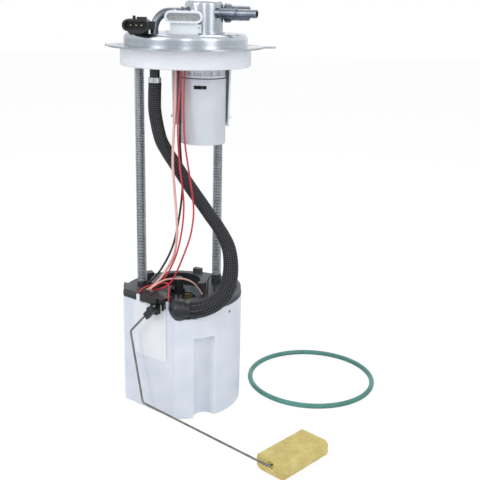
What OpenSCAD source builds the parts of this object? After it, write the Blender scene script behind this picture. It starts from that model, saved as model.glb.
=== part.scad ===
// Tank fuel-pump module: a steel flange with its fittings, two sprung guide rods, a sleeved hose,
// and a sliding reservoir that holds the electric pump, the filter and the fuel level sender.
// Millimetres, +Z up. The origin is the centre of the flange's underside, where it sits on the tank.

/* [Flange cover] */
// Radius of the flat flange plate
plate_r = 77.5; // [72:0.5:84]
// Thickness of the pressed sheet
sheet = 1.8; // [1.2:0.1:2.5]
// Radius of the raised dome
dome_r = 61.7; // [58:0.1:64]
// Height of the dome above the flange's underside
dome_h = 13.8; // [10:0.1:20]
// Corner radius of the dome
dome_corner = 5; // [3:0.5:8]
// Reach of the locating ears past the plate
ear_reach = 12.5; // [6:0.5:18]
// Width of the locating ears
ear_w = 15; // [8:1:24]

/* [Top can] */
// Radius of the drawn can
can_r = 19; // [15:0.1:21]
// Height of the can above the dome
can_h = 31.2; // [24:0.1:36]
// Corner radius of the can
can_corner = 4; // [2:0.5:6]
// Wall of the can
can_wall = 1.2; // [0.8:0.1:2]
// Place of the can's axis along X
can_x = 17.8; // [14:0.1:22]
// Place of the can's axis along Y
can_y = 2; // [0:0.5:4]

/* [Fittings] */
// Outside radius of the fuel line fitting and the crossover tube
line_r = 3.97; // [3:0.01:4.8]
// Wall of the fuel line
line_wall = 1; // [0.6:0.1:1.4]
// Height of both fittings above the flange's underside
fitting_z = 33.5; // [30:0.5:36]
// Length of the fuel outlet past the can
outlet_len = 42; // [36:1:50]
// Turn of the fuel outlet about the can
outlet_turn = -22; // [-30:1:-14]
// Outside radius of the vapour fitting
vapour_r = 7.3; // [6:0.1:8]
// Length of the vapour fitting past the can
vapour_len = 28.2; // [24:0.1:36]
// Radius of the round bead on the vapour fitting
vapour_bead_r = 9.4; // [8.5:0.1:10]
// Bend radius of the crossover tube
tube_bend = 17; // [13:0.5:18]

/* [Connectors] */
// Width of the four-way harness connector
plug_w = 36; // [32:0.5:40]
// Height of the harness connector's mouth
plug_h = 11.2; // [10:0.1:12]
// Depth of the harness connector
plug_d = 18; // [15:0.5:18.5]
// Distance between the connector's terminals
terminal_pitch = 6.6; // [5:0.1:7]
// Width of the pressure sensor's oval mouth
sensor_w = 25.5; // [22:0.5:27]
// Height of the pressure sensor's mouth
sensor_h = 11.2; // [10:0.1:12]
// Length of the pressure sensor's mouth
sensor_d = 24; // [23:0.5:26]

/* [Tank spigot] */
// Outside radius of the white spigot under the flange
spigot_r = 65.5; // [63:0.1:68]
// Depth of the spigot
spigot_h = 18; // [14:0.5:24]
// Wall of the spigot
spigot_wall = 2.5; // [1.5:0.1:4]
// Thickness of the web that carries the rods
web_t = 3; // [2:0.1:4]

/* [Guide rods and springs] */
// Radius of the guide rods
rod_r = 3.5; // [2.5:0.1:3.7]
// Outside radius of the springs
spring_r = 5.15; // [4.8:0.05:5.5]
// Wire of the springs
spring_wire = 1.1; // [0.8:0.1:1.2]
// Number of spring turns drawn
spring_turns = 78; // [40:1:90]
// Depth of the rod bosses under the web
rod_boss_h = 11; // [8:0.5:14]
// Length of the rod below the bottom of its guide sleeve
rod_tail = 5; // [4:0.5:12]
// Radial clearance of the rods in the reservoir's sleeves
rod_gap = 0.06; // [0.02:0.01:0.09]

/* [Vent valve] */
// Radius of the valve body
valve_r = 22.5; // [20:0.1:23]
// Height of the valve body
valve_h = 65.5; // [60:0.5:70]
// Depth of the valve's gasket under the flange
valve_top = 27.7; // [25:0.1:32]
// Wall of the valve body
valve_wall = 2; // [1.5:0.1:2.5]
// Outside radius of the bracket at its top
bracket_r = 30; // [28:0.5:31]
// Thickness of the bracket
bracket_t = 1.8; // [1.2:0.1:2.5]
// Lift of the valve's float
valve_lift = 4; // [2:0.5:5]

/* [Hose and wires] */
// Radius of the sleeved hose
hose_r = 6.5; // [5.4:0.1:6.6]
// Radius of the sleeved hose at the elbow
hose_end_r = 9.2; // [7:0.1:9.4]
// Radius of the thin wires
wire_r = 0.9; // [0.6:0.1:1]
// Radius of the thick wires
thick_wire_r = 1.3; // [1:0.1:1.4]

/* [Reservoir] */
// Height from the reservoir's foot to the flange's underside
drop = 380; // [360:1:400]
// Radius of the reservoir
res_r = 64; // [62:0.5:65]
// Height of the cup
cup_h = 120.5; // [115:0.5:125]
// Wall of the cup
cup_wall = 2.5; // [2:0.1:3]
// Distance of the sender's flat from the reservoir's axis
flat_d = 52; // [50:0.5:55]
// Radius of the upright groove in the cup's front
groove_r = 12; // [9:0.5:13]
// Height of the groove
groove_h = 91.5; // [70:0.5:95]
// Thickness of the lid's rim above the cup
lid_t = 2; // [1.5:0.1:4]
// Depth of the lid's lip inside the cup
lip_h = 6; // [4:0.5:8]
// Outside radius of the lid's turret round the pump
turret_r = 30; // [28:0.5:31]
// Height of the turret above the lid
turret_h = 13.5; // [8:0.5:15]
// Height of the raised pad round the left rod
pad_h = 6.5; // [3:0.5:8]

/* [Pump] */
// Outside radius of the pump's shell
pump_r = 19; // [18:0.1:19.5]
// Length of the pump's shell
shell_h = 82; // [76:1:86]
// Wall of the pump's shell
shell_wall = 1; // [0.8:0.1:1.2]
// Radius of the motor's shaft
shaft_r = 1.6; // [1.2:0.1:2]
// Number of vanes on the impeller
vane_count = 24; // [12:1:36]
// Radius of the fuel filter
filter_r = 16; // [14:0.5:16.5]

/* [Level sender] */
// Radius of the arm's wire
arm_wire_r = 1.1; // [0.9:0.05:1.3]
// Length of the float
float_l = 62.7; // [56:0.1:70]
// Width of the float
float_w = 36; // [30:0.5:40]
// Thickness of the float
float_t = 17; // [15:0.5:20]
// Corner radius of the float
float_corner = 5.5; // [3:0.5:7]
// Thickness of the white sender plate
plate_t = 2; // [1.5:0.1:3]

/* [Tank seal] */
// Mean radius of the seal
seal_r = 71; // [68:0.1:74]
// Radius of the seal's cord
seal_cord_r = 2.75; // [2:0.05:3.5]

/* [Hidden] */

// Small play between pieces that are fixed together
fit_gap = 0.02;
// Play between pieces that only lie side by side
side_gap = 0.3;
round_fn = 96;
blend_fn = 48;

left_rod = [-47.2, 0];
right_rod = [32.4, 27];
collar_h = 9.5;
collar_r = 5.6;
sleeve_r = 6;
sleeve_h = 26.5;
lid_top = cup_h + lid_t;
rod_foot = lid_top - sleeve_h - rod_tail;
spring_top = -web_t - rod_boss_h - fit_gap;
spring_foot = -drop + lid_top + collar_h + fit_gap;

tube_xy = [-29, -22];
tube_turn = atan2(can_y - tube_xy[1], can_x - tube_xy[0]);
hose_top = -33.5;
stub_r = 5;

plug_x = 0.5;
plug_front = -42;
plug_z = fitting_z - 3.9;
sensor_x = -42.5;
sensor_front = -58;
sensor_z = dome_h + 2.2 + sensor_h / 2;
sensor_foot = [sensor_x - 1.5, -26];
// Depth of the recess in the flange's underside that seats the spigot
seat_step = 0.4;
outlet_root_r = line_r + 0.3;

valve_xy = [18.4, -12];
bracket_xy = [16.3, -12];
bracket_foot = -77;

res_x = -3.4;
// Turn of the sender's flat: its own X runs along the flat and its own Y points into the reservoir
flat_turn = -38.3;
groove_xy = [24, -58];
cup_floor = 4;
pump_xy = [-7, -5];
shell_foot = 22;
filter_xy = [33, -18];
elbow_xy = [-2, -59];
tower_xy = [-5.5, -22.5];
elbow_z = lid_top + side_gap;
elbow_r = hose_end_r + 1.6;
barb_len = 11;

// The arm turns about this point of the flat's own X and Z
pivot = [14.5, cup_h];
arm_y = -65;
float_x = 178.5;
float_y = -76.4;
float_z = 12.7;
// Turn of the float's leg from square to the arm, the float's start along it, and its sag
float_skew = -5;
float_start = 3;
float_sag = 1.8;
plate_foot = 62;
// Front of the sender's bracket, and the tip of its pivot pin
sender_front = -60.2;
pin_tip = -63.6;

seal_xy = [144.4, 37.6];

module above_foot() { translate([0, 0, -drop]) children(); }
module on_flat() { above_foot() translate([res_x, 0, 0]) rotate([0, 0, flat_turn]) children(); }
module at_pump() { above_foot() translate([pump_xy[0], pump_xy[1], 0]) children(); }

// Half section of a solid cup of radius r and height h, with its outer corner rounded to c
module half_cup(r, h, c) {
  square([r - c, h]);
  square([r, h - c]);
  translate([r - c, h - c]) circle(c, $fn = blend_fn);
}

module revolve() { rotate_extrude($fn = round_fn) children(); }

// A tube standing on z = 0
module pipe(r_out, r_in, h) {
  difference() {
    cylinder(r = r_out, h = h, $fn = round_fn);
    translate([0, 0, -1]) cylinder(r = r_in, h = h + 2, $fn = round_fn);
  }
}

// An upright bar with round ends, w wide, h high and d deep, its front face at y = 0
module oval_bar(w, h, d) {
  rotate([90, 0, 0]) translate([0, 0, -d]) linear_extrude(d) oval(w, h);
}
module oval(w, h) {
  square([w - h, h], center = true);
  for (s = [-1, 1]) translate([s * (w - h) / 2, 0]) circle(h / 2, $fn = blend_fn);
}

function unit(v) = v / norm(v);
function heading(p, i) = unit(p[min(i + 1, len(p) - 1)] - p[max(i - 1, 0)]);
// The ring's first spoke, carried along the path so that the tube doesn't twist
function carried(p, i, v) = let (t = heading(p, i)) unit(v - (v * t) * t);
function spokes(p, i = 0, v = [0.01, 1, 0.02], out = []) =
  i == len(p) ? out : let (u = carried(p, i, v)) spokes(p, i + 1, u, concat(out, [u]));

// A round cord of radius r, one or a list, swept along a list of points, with flat ends
module cord(path, r, sides) {
  spoke = spokes(path);
  n = len(path);
  points = [for (i = [0 : n - 1], s = [0 : sides - 1])
    let (u = spoke[i], w = cross(heading(path, i), u), a = 360 * s / sides)
    path[i] + (is_list(r) ? r[i] : r) * (cos(a) * u + sin(a) * w)];
  walls = [for (i = [0 : n - 2], s = [0 : sides - 1]) let (q = (s + 1) % sides)
    [i * sides + s, i * sides + q, (i + 1) * sides + q, (i + 1) * sides + s]];
  polyhedron(points = points, convexity = 6, faces = concat(walls,
    [[for (s = [sides - 1 : -1 : 0]) s]], [[for (s = [0 : sides - 1]) (n - 1) * sides + s]]));
}

// The pressed flange: plate, dome, two locating ears and the slots beside the dome
module flange_cover() color("silver") {
  difference() {
    union() {
      revolve() difference() {
        union() {
          square([plate_r, sheet]);
          half_cup(dome_r, dome_h, dome_corner);
        }
        translate([0, -dome_corner])
          half_cup(dome_r - sheet, dome_h + dome_corner - sheet, dome_corner - sheet);
      }
      for (ear = [[6, ear_reach], [183, 2.6]]) rotate([0, 0, ear[0]])
        linear_extrude(sheet) {
          translate([plate_r - 6, -ear_w / 2]) square([6 + ear[1] - ear_w / 4, ear_w]);
          translate([plate_r + ear[1] - ear_w / 4, 0]) for (s = [-1, 1])
            translate([0, s * ear_w / 4]) circle(ear_w / 4, $fn = blend_fn);
          translate([plate_r, -ear_w / 4]) square([ear[1], ear_w / 2]);
        }
    }
    translate([0, 0, -1]) cylinder(r = spigot_r + side_gap, h = 1 + seat_step, $fn = round_fn);
    for (turn = [17, 195]) rotate([0, 0, turn]) translate([dome_r + 3, -4, -1])
      cube([3, 8, sheet + 2]);
    translate([tube_xy[0], tube_xy[1], 0]) cylinder(r = line_r + fit_gap, h = 40, $fn = round_fn);
    translate([sensor_foot[0], sensor_foot[1], 0]) cylinder(r = 6.5, h = 40, $fn = round_fn);
    translate([plug_x - 12, plug_front + 5, 0]) cube([24, 9, 40]);
    translate([can_x, can_y, 0]) cylinder(r = can_r - 6, h = 40, $fn = round_fn);
  }
}

module top_can() color("gainsboro") difference() {
  translate([can_x, can_y, dome_h]) difference() {
    revolve() union() {
      half_cup(can_r, can_h, can_corner);
      square([can_r + 2, can_wall]);
    }
    translate([0, 0, -can_corner]) revolve()
      half_cup(can_r - can_wall, can_h + can_corner - can_wall, can_corner - can_wall);
  }
  at_outlet() rotate([0, 90, 0]) translate([0, 0, -4])
    cylinder(r = outlet_root_r + fit_gap, h = 12, $fn = round_fn);
  at_vapour() rotate([0, 90, 0]) translate([0, 0, -6])
    cylinder(r = vapour_r - 1 + fit_gap, h = 14, $fn = round_fn);
  at_crossover() rotate([0, 90, 0]) translate([0, 0, tube_bend])
    cylinder(r = line_r + fit_gap, h = 30, $fn = round_fn);
}

// Where the two fittings leave the can, with X along the fitting
module at_outlet() {
  translate([can_x + 13.2, can_y - 12, fitting_z]) rotate([0, 0, outlet_turn]) children();
}
module at_vapour() {
  translate([can_x + can_r - 1.5, can_y + 4, fitting_z]) rotate([0, 0, 8]) children();
}
// The crossover tube's foot, with X towards the can and Z at its level run
module at_crossover() {
  translate([tube_xy[0], tube_xy[1], fitting_z + 0.5]) rotate([0, 0, tube_turn]) children();
}

// The outlet: a collar at the can, a tube, the quick-connect ring and a chamfered end
module fuel_outlet_fitting() color("lightslategray") at_outlet() rotate([0, 90, 0]) difference() {
  union() {
    translate([0, 0, -4]) cylinder(r = outlet_root_r, h = outlet_len - 18, $fn = round_fn);
    translate([0, 0, outlet_len - 22]) cylinder(r = line_r, h = 21.4, $fn = round_fn);
    translate([0, 0, outlet_len - 0.6])
      cylinder(r1 = line_r, r2 = line_r - 0.6, h = 0.6, $fn = round_fn);
    translate([0, 0, 2.6]) revolve() half_cup(line_r + 0.9, 2.6, 0.8);
    translate([0, 0, outlet_len - 22]) revolve() {
      square([line_r + 0.4, 1.8]);
      translate([line_r + 0.4, 0.9]) circle(0.9, $fn = blend_fn);
    }
  }
  translate([0, 0, -5]) cylinder(r = line_r - line_wall, h = outlet_len + 6, $fn = round_fn);
}

// The vapour fitting: a round bead against the can and a wide tube with a chamfered end
module vapour_fitting() color("slategray") at_vapour() rotate([0, 90, 0]) difference() {
  union() {
    translate([0, 0, -5]) cylinder(r = vapour_r - 1, h = 17, $fn = round_fn);
    translate([0, 0, 10]) cylinder(r = vapour_r, h = vapour_len - 11, $fn = round_fn);
    translate([0, 0, vapour_len - 1])
      cylinder(r1 = vapour_r, r2 = vapour_r - 1, h = 1, $fn = round_fn);
    translate([0, 0, 2]) revolve() {
      square([vapour_bead_r - 3, 8]);
      translate([0, 3]) square([vapour_bead_r, 2]);
      for (y = [3, 5]) translate([vapour_bead_r - 3, y]) circle(3, $fn = blend_fn);
    }
  }
  translate([0, 0, -6]) cylinder(r = vapour_r - 2.2, h = vapour_len + 8, $fn = round_fn);
}

// The fuel line: up through the flange, round its bend and into the can
module crossover_tube() color("lightslategray") at_crossover() {
  bend_z = -tube_bend;
  level_run = norm([can_x - tube_xy[0], can_y - tube_xy[1]]) - can_r - tube_bend + 3;
  translate([0, 0, hose_top + fit_gap - fitting_z - 0.5])
    pipe(line_r, line_r - line_wall, fitting_z + 0.5 - hose_top - fit_gap + bend_z);
  translate([tube_bend, 0, bend_z]) rotate([90, 0, 0]) rotate([0, 0, 90])
    rotate_extrude(angle = 90, $fn = round_fn) translate([tube_bend, 0]) difference() {
      circle(line_r, $fn = blend_fn);
      circle(line_r - line_wall, $fn = blend_fn);
    }
  translate([tube_bend, 0, 0]) rotate([0, 90, 0]) {
    pipe(line_r, line_r - line_wall, level_run);
    translate([0, 0, level_run - 8]) pipe(line_r + 1, line_r - 0.5, 2);
  }
}

// The pressure sensor: round body on the dome, oval mouth with a latch bar, nub and keel
module pressure_sensor() color([0.12, 0.12, 0.13]) {
  difference() {
    union() {
      translate([sensor_x, sensor_front, sensor_z]) oval_bar(sensor_w, sensor_h, sensor_d);
      translate([sensor_foot[0], sensor_foot[1], dome_h + fit_gap])
        cylinder(r = 10, h = sensor_z + sensor_h / 2 - dome_h - 0.3, $fn = round_fn);
      translate([sensor_foot[0], sensor_foot[1], dome_h - 5]) cylinder(r = 4, h = 6, $fn = round_fn);
      translate([sensor_x + 1, sensor_front + 1.5, sensor_z + sensor_h / 2 - 0.5])
        cube([9, 5, 2.6]);
      translate([sensor_x - 3, sensor_front + 3, sensor_z + sensor_h / 2 - 0.5]) cube([2.6, 3, 3.6]);
      translate([sensor_x + 0.5, sensor_front, sensor_z - 2.4]) oval_bar(18, 10.2, 9);
      translate([sensor_x + sensor_w / 2 - 3, sensor_front + 8, sensor_z - 3.4]) cube([7.4, 9, 7]);
    }
    translate([sensor_x, sensor_front - 1, sensor_z]) oval_bar(sensor_w - 4, sensor_h - 4, 14);
  }
}
module sensor_terminals() color("goldenrod")
  for (i = [-1 : 1]) translate([sensor_x + i * 5, sensor_front + 5, sensor_z])
    translate([-0.8, 0, -0.4]) cube([1.6, 8 - fit_gap, 0.8]);
module sensor_seal() color("dimgray") translate([sensor_foot[0], sensor_foot[1], dome_h - 4])
  pipe(6.5 - fit_gap, 4 + fit_gap, 4 - fit_gap);

// The four-way connector: an oval mouth on a stepped block
module harness_connector() color("whitesmoke") {
  difference() {
    union() {
      translate([plug_x, plug_front, plug_z]) oval_bar(plug_w, plug_h, plug_d);
      translate([plug_x - 12.8, plug_front + 3.5, dome_h + 2])
        cube([25.7, plug_d - 3.5, plug_z - dome_h - 2]);
      translate([plug_x + 12, plug_front + 3.5, dome_h + 1]) cube([4.6, 5, 8]);
      translate([plug_x - 17, plug_front + 1.5, dome_h + fit_gap]) cube([30.5, plug_d + 0.5, 3]);
      translate([plug_x - 11, plug_front + 6, dome_h - 7]) cube([22, 7, 8]);
      for (s = [-1, 1]) translate([plug_x + s * 8.2 - 1, plug_front + 3, plug_z + plug_h / 2 - 0.5])
        cube([2, 5, 1.6]);
    }
    translate([plug_x, plug_front - 1, plug_z]) oval_bar(plug_w - 4, plug_h - 4, 12);
    translate([plug_x + 14.6, plug_front + 3, dome_h + 6]) rotate([-90, 0, 0])
      cylinder(r = 1, h = 3, $fn = 24);
  }
}
module connector_terminals() color("darkkhaki")
  for (i = [-1.5 : 1.5]) translate([plug_x + i * terminal_pitch - 1.4, plug_front + 3, plug_z - 0.4])
    cube([2.8, 8 - fit_gap, 0.8]);

// The white spigot: outer wall, web, and the bosses that carry the rods and the stub
module flange_spigot() color("whitesmoke") difference() {
  union() {
    revolve() difference() {
      mirror([0, 1]) half_cup(spigot_r, spigot_h, 2);
      translate([0, -spigot_h - 1]) square([spigot_r - spigot_wall, spigot_h + 1 - web_t]);
    }
    translate([0, 0, -0.5]) cylinder(r = spigot_r - 1, h = 0.5 + seat_step - fit_gap, $fn = round_fn);
    for (p = [left_rod, right_rod]) translate([p[0], p[1], -web_t - rod_boss_h])
      cylinder(r = 8, h = rod_boss_h + 1, $fn = round_fn);
    translate([tube_xy[0], tube_xy[1], -web_t - 5]) cylinder(r = 8, h = 6, $fn = round_fn);
  }
  for (p = [left_rod, right_rod]) translate([p[0], p[1], -web_t - rod_boss_h - 1])
    cylinder(r = rod_r + fit_gap, h = rod_boss_h + web_t + 2, $fn = round_fn);
  translate([tube_xy[0], tube_xy[1], -web_t - 6])
    cylinder(r = line_r + fit_gap, h = web_t + 8, $fn = round_fn);
  translate([plug_x - 12, plug_front + 5, -web_t - 1]) cube([24, 9, web_t + 2]);
  translate([valve_xy[0], valve_xy[1], -web_t - 1]) cylinder(r = 5, h = web_t + 2, $fn = round_fn);
  translate([sensor_foot[0], sensor_foot[1], -web_t - 1]) cylinder(r = 2.5, h = web_t + 2, $fn = round_fn);
}

module guide_rod(p) color("silver") translate([p[0], p[1], -drop + rod_foot])
  cylinder(r = rod_r, h = drop - rod_foot - fit_gap, $fn = round_fn);
module guide_rod_left() { guide_rod(left_rod); }
module guide_rod_right() { guide_rod(right_rod); }
module rod_stop_clips() color("dimgray") for (p = [left_rod, right_rod])
  translate([p[0], p[1], -drop + lid_top - sleeve_h - side_gap - 1.2])
    pipe(sleeve_r - 0.5, rod_r + fit_gap, 1.2);

// A close-wound spring, drawn as its stacked turns
module spring(p) color([0.5, 0.52, 0.54]) {
  pitch = (spring_top - spring_foot) / spring_turns;
  translate([p[0], p[1], spring_foot]) revolve() polygon(concat(
    [[spring_r - spring_wire, spring_turns * pitch], [spring_r - spring_wire, 0]],
    [for (i = [0 : spring_turns - 1], e = [0, 0.5]) [spring_r - 0.5 + e, (i + e) * pitch]],
    [[spring_r - 0.5, spring_turns * pitch]]));
}
module spring_left() { spring(left_rod); }
module spring_right() { spring(right_rod); }

module hose_stub() color([0.2, 0.22, 0.27]) translate([tube_xy[0], tube_xy[1], hose_top])
  pipe(stub_r, line_r + fit_gap, -hose_top - web_t - 5 - fit_gap);
// The clamp: a band round the stub with its raised ear
module hose_clamp() color("gainsboro") translate([tube_xy[0], tube_xy[1], hose_top]) {
  pipe(stub_r + 1.4, stub_r + fit_gap, 5);
  rotate([0, 0, 250]) translate([stub_r + 0.8, -2, 0.4]) cube([2.6, 4, 4.2]);
}

hose_route = [[-29, -22, -33.6], [-29, -22, -37], [-29.3, -22.5, -47], [-28.8, -24, -63], [-23.6, -27, -87],
  [-16.5, -28.5, -101], [-7.8, -30, -114], [4.5, -32, -132.5], [19, -34, -152.7], [27.5, -36, -164.5],
  [36.3, -38, -176.4], [46, -42, -194], [49.2, -46.5, -211.5], [48.2, -50.5, -228], [43.8, -54.5, -241],
  [34, -57.8, -250], [24, -59, -254.8], [14.5, -59, -257.2], [9.2, -59, -257.2]];
// The hose swells from its eleventh ring to the elbow
hose_radii = [for (i = [0 : len(hose_route) - 1])
  hose_r + (hose_end_r - hose_r) * sin(90 * max(0, min(1, (i - 10) / (len(hose_route) - 12))))];
module fuel_hose() color([0.13, 0.13, 0.14]) cord(hose_route, hose_radii, 12);

// The bracket: a tapered half sleeve behind the valve, hung from the web
module valve_bracket() color([0.9, 0.93, 0.97]) {
  translate([bracket_xy[0], bracket_xy[1], 0]) {
    rotate_extrude(angle = 180, $fn = round_fn) polygon([
      [bracket_r, -web_t - fit_gap], [bracket_r - 1.5, bracket_foot],
      [bracket_r - 1.5 - bracket_t, bracket_foot], [bracket_r - bracket_t, -web_t - fit_gap]]);
    for (s = [-1, 1]) translate([s * (bracket_r - 2.4), 0, -67]) rotate([0, s * 90, 0])
      cylinder(r = 1.5, h = 2.8, $fn = 24);
  }
}

module at_valve(z) { translate([valve_xy[0], valve_xy[1], z]) children(); }
module vent_valve_body() color([0.86, 0.88, 0.89]) at_valve(-valve_top - valve_h) difference() {
  cylinder(r = valve_r, h = valve_h - 0.8, $fn = round_fn);
  translate([0, 0, valve_wall]) cylinder(r = valve_r - valve_wall, h = valve_h, $fn = round_fn);
  translate([-8.5, -valve_r - 1, valve_h - 10.4]) cube([12.6, 8, 3.5]);
  for (turn = [30 : 60 : 330]) rotate([0, 0, turn]) translate([10, 0, -1])
    cylinder(r = 2.5, h = valve_wall + 2, $fn = 24);
}
module vent_valve_gasket() color([0.1, 0.1, 0.1]) at_valve(-valve_top - 0.8 + fit_gap)
  pipe(valve_r + 0.3, valve_r - 4, 0.8 - 2 * fit_gap);
// The valve's cap: a ribbed drum with its vent neck up into the web
module vent_valve_cap() color("whitesmoke") at_valve(-valve_top) difference() {
  union() {
    cylinder(r = valve_r - 0.5, h = 2, $fn = round_fn);
    cylinder(r = valve_r - 5, h = valve_top - web_t - fit_gap, $fn = round_fn);
    for (turn = [0 : 30 : 330]) rotate([0, 0, turn]) translate([0, -0.6, 0])
      cube([valve_r - 1, 1.2, valve_top - web_t - 6]);
  }
  translate([0, 0, -1]) cylinder(r = 3, h = valve_top + 2, $fn = round_fn);
}
module vent_valve_float() color("ivory") at_valve(-valve_top - valve_h + valve_wall + side_gap)
  difference() {
    union() {
      cylinder(r = valve_r - valve_wall - 1, h = 50, $fn = round_fn);
      translate([0, 0, 50]) cylinder(r1 = 4, r2 = 1.5, h = 6, $fn = round_fn);
    }
    translate([0, 0, -1]) cylinder(r = 8, h = 30, $fn = round_fn);
  }

red_pump_route = [[-3, -32, -3.2], [-3, -33, -22], [-4, -36, -50], [-5, -41, -77], [-3, -44, -111],
  [1, -45, -146], [0, -45, -172], [-5, -44, -199], [-13, -42.5, -220], [-22.5, -34.5, -236.5],
  [-31, -30, -244.8], [-36.2, -24.6, -247.8]];
red_sender_route = [[1, -32, -3.2], [1, -33, -22], [0.5, -37, -53], [2, -43, -87], [7, -47, -121],
  [11, -47, -151], [10, -47, -172], [5, -46, -193], [-9, -43, -229], [-18, -40.5, -239.5],
  [-27, -36, -245], [-32.1, -31.5, -246.9]];
pink_route = [[-8, -31, -3.2], [-8, -34, -50], [-10, -41.5, -105], [-8.5, -42, -133], [-6.5, -42, -160],
  [-6, -41.5, -184], [-9.5, -41, -206], [-18.5, -39.3, -224], [-28.5, -36.5, -238],
  [-35.5, -33, -245], [-38.5, -29.3, -247.6]];
black_route = [[-6, -22, -3.2], [-4.3, -22, -50], [-4.2, -22, -94], [-1.9, -22, -130], [-3.2, -23, -155.9],
  [-8.3, -28, -188], [-14, -31.5, -206], [-22.4, -34, -221.9], [-29.6, -33, -232.2],
  [-37.3, -27, -241.2], [-39.4, -23, -247.7]];
pink_link_route = [[-31.8, -36.8, -247], [-33.5, -41, -243.2], [-29, -42.5, -238], [-19, -38.4, -233.4],
  [-8.5, -32, -233.9], [1.5, -26.5, -236.3], [11, -22, -243], [19.3, -18.7, -256]];
red_link_route = [[-47.1, -33, -250.5], [-42.3, -33, -245.2], [-36, -29.5, -243], [-24.8, -27.8, -241.6],
  [-18.3, -40.6, -235.9], [-14.2, -47.5, -235.6], [-13.4, -54, -243.5], [-13.3, -56.9, -249.9]];
module red_pump_wire() color("crimson") cord(red_pump_route, wire_r, 8);
module red_sender_wire() color("crimson") cord(red_sender_route, wire_r, 8);
module pink_wire() color("lightpink") cord(pink_route, thick_wire_r, 8);
module black_wire() color([0.08, 0.08, 0.08]) cord(black_route, wire_r + 0.2, 8);
module pink_link_wire() color("lightpink") cord(pink_link_route, wire_r, 8);
module red_link_wire() color("crimson") cord(red_link_route, wire_r, 8);

// Plan of the reservoir: a circle with the sender's flat, drawn in by a wall
module plan(inset) {
  intersection() {
    translate([res_x, 0]) circle(res_r - inset, $fn = 160);
    translate([res_x, 0]) rotate(flat_turn)
      translate([-res_r, inset - flat_d]) square([2 * res_r, res_r + flat_d]);
  }
}

// The cup: wall and raised floor, with the front groove, the rim's dip for the hose elbow,
// the snap windows, the pump's well and the inlet hole
module reservoir_cup() color([0.92, 0.94, 0.98]) above_foot() {
  difference() {
    intersection() {
      linear_extrude(cup_h) plan(0);
      translate([res_x, 0, cup_h]) mirror([0, 0, 1]) revolve() half_cup(res_r + 0.01, cup_h, 1.5);
    }
    translate([groove_xy[0], groove_xy[1], -1])
      cylinder(r = groove_r, h = groove_h + 1, $fn = round_fn);
    difference() {
      translate([0, 0, cup_floor + cup_wall]) linear_extrude(cup_h) plan(cup_wall);
      translate([groove_xy[0], groove_xy[1], 0])
        cylinder(r = groove_r + cup_wall, h = groove_h + cup_wall, $fn = round_fn);
    }
    translate([0, 0, -1]) difference() {
      linear_extrude(cup_floor + 1) plan(cup_wall + 4);
      translate([groove_xy[0], groove_xy[1], 0])
        cylinder(r = groove_r + cup_wall, h = 9, $fn = round_fn);
    }
    // The rim's dips under the elbow's ball and the hose: place, height and radius of each
    for (p = [[elbow_xy[0], 0, elbow_r + 0.5], [6, 0, hose_end_r + 1],
              [13, 0.5, hose_end_r + 1.3], [20, 1.9, hose_end_r + 1.3], [29, 5, hose_end_r + 1.1]])
      translate([p[0], -40, elbow_z + p[1]]) rotate([90, 0, 0]) cylinder(r = p[2], h = 50, $fn = round_fn);
    translate([res_x, 0, cup_h - 9]) for (turn = [-35, 60, 150]) rotate([0, 0, turn])
      translate([res_r - 5, -2, 0]) cube([10, 4, 2.6]);
    for (turn = [30, 110, 190]) translate([res_x, 0, 0]) rotate([0, 0, turn])
      translate([res_r - 12, -7, -1]) cube([20, 14, cup_floor]);
    translate([20, 32, 0]) {
      cylinder(r = 2, h = 9, $fn = round_fn);
      for (turn = [0 : 60 : 300]) rotate([0, 0, turn]) translate([4.6, 0, 0])
        cylinder(r = 1.4, h = 9, $fn = 24);
    }
  }
  translate([res_x, 0, cup_h - 6]) rotate([0, 0, flat_turn]) translate([24, 0.2 - flat_d, 0])
    cube([3.3, cup_wall - 0.4, 14.5]);
  translate([pump_xy[0], pump_xy[1], cup_floor + cup_wall - 0.5]) difference() {
    pipe(pump_r + 6, pump_r + 3.6, 42);
    for (turn = [20 : 90 : 290]) rotate([0, 0, turn]) translate([pump_r, -6, 3]) cube([10, 12, 14]);
  }
}

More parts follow.
